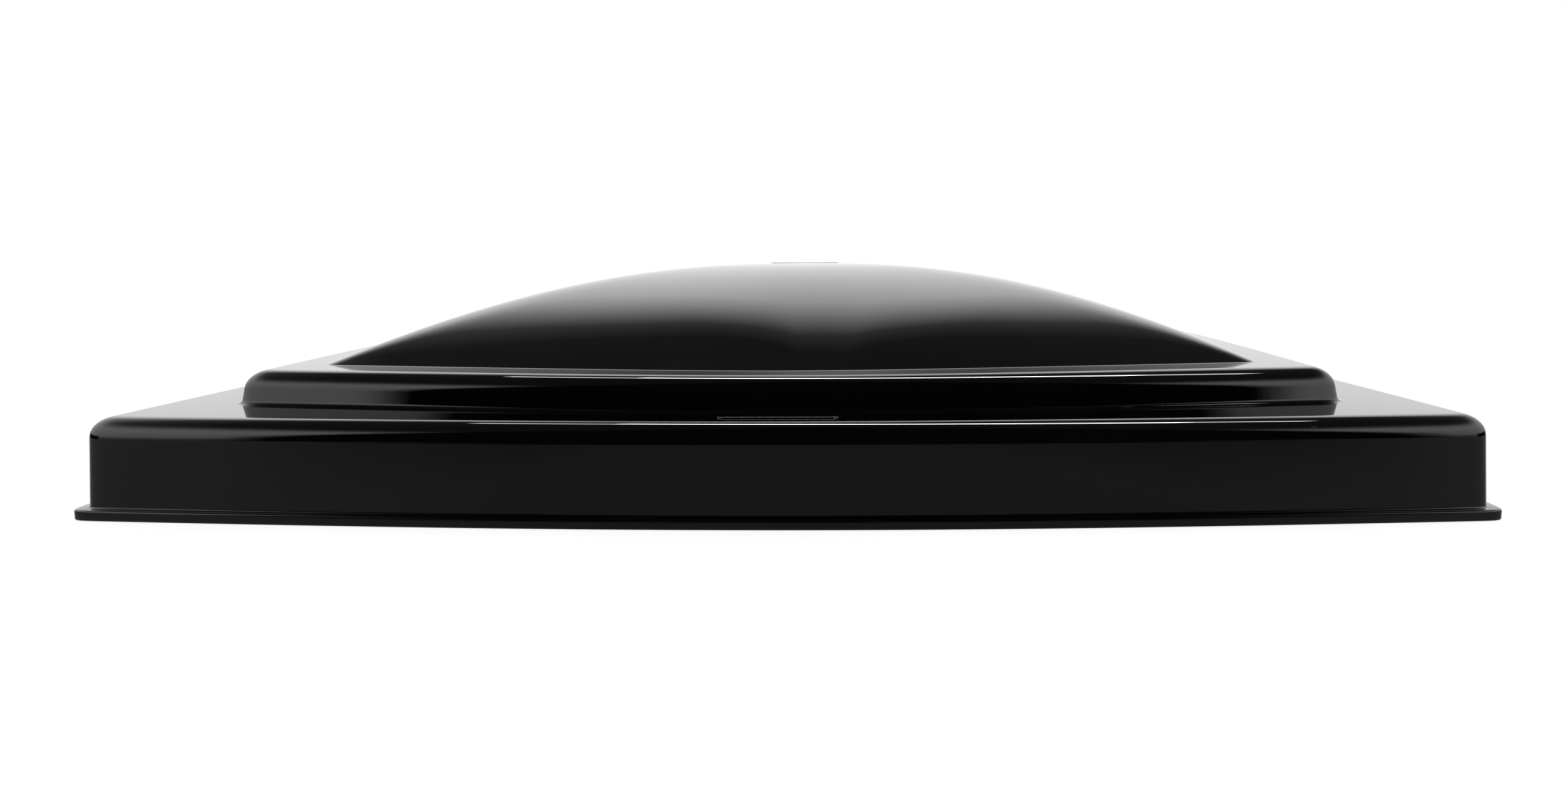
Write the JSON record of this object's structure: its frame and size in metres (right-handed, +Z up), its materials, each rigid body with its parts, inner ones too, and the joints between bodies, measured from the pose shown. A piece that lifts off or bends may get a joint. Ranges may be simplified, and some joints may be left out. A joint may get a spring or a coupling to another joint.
{
  "type": "roof vent cover",
  "caption": "Hinged square roof vent lid with bowed sides, stepped skirt and pillow dome, pin hinge at the back, foam rim seal, and an under-dome lift track with a sliding crank shoe.",
  "frame": {"origin": "bottom centre of the whole assembly: the plane that the lid's lip and the hinge's base leaf rest on", "axes": "+X right, +Y back towards the hinge, +Z up through the dome"},
  "size_m": [0.411, 0.44, 0.0717],
  "materials": {
    "black_plastic": "glossy injection-moulded black",
    "black_foam": "closed-cell foam, matt",
    "black_rubber": "moulded rubber, matt",
    "zinc_steel": "zinc-plated pressed steel",
    "bright_steel": "bright plated steel",
    "aluminium_strip": "mill-finish aluminium",
    "rivet_aluminium": "satin aluminium",
    "white_nylon": "natural nylon, satin",
    "brass_bush": "turned brass"
  },
  "bodies": {
    "hinge_base": {"hinge_base_leaf": "zinc_steel", "hinge_pin": "bright_steel", "pin_retainers": "bright_steel"},
    "lid": {"lid_shell": "black_plastic", "rim_seal": "black_foam", "hinge_lid_leaf": "zinc_steel", "hinge_gasket": "black_foam", "hinge_backing_strip": "aluminium_strip", "hinge_rivets": "rivet_aluminium", "lift_track": "zinc_steel", "track_washers": "bright_steel", "track_screws": "bright_steel", "track_front_stop": "white_nylon", "track_rear_stop": "white_nylon", "stop_pins": "bright_steel", "stop_bumpers": "black_rubber"},
    "shoe": {"lift_shoe": "white_nylon", "socket_bush": "brass_bush", "socket_clip": "bright_steel"}
  },
  "joints": [
    {"name": "lid_hinge", "type": "hinge", "parent": "hinge_base", "child": "lid", "pos_m": [0, 0.19425, 0.00325], "axis": [-1, 0, 0], "range_deg": [0, 75]},
    {"name": "shoe_slide", "type": "slide", "parent": "lid", "child": "shoe", "axis": [0, -1, 0], "range_m": [0, 0.107]}
  ]
}
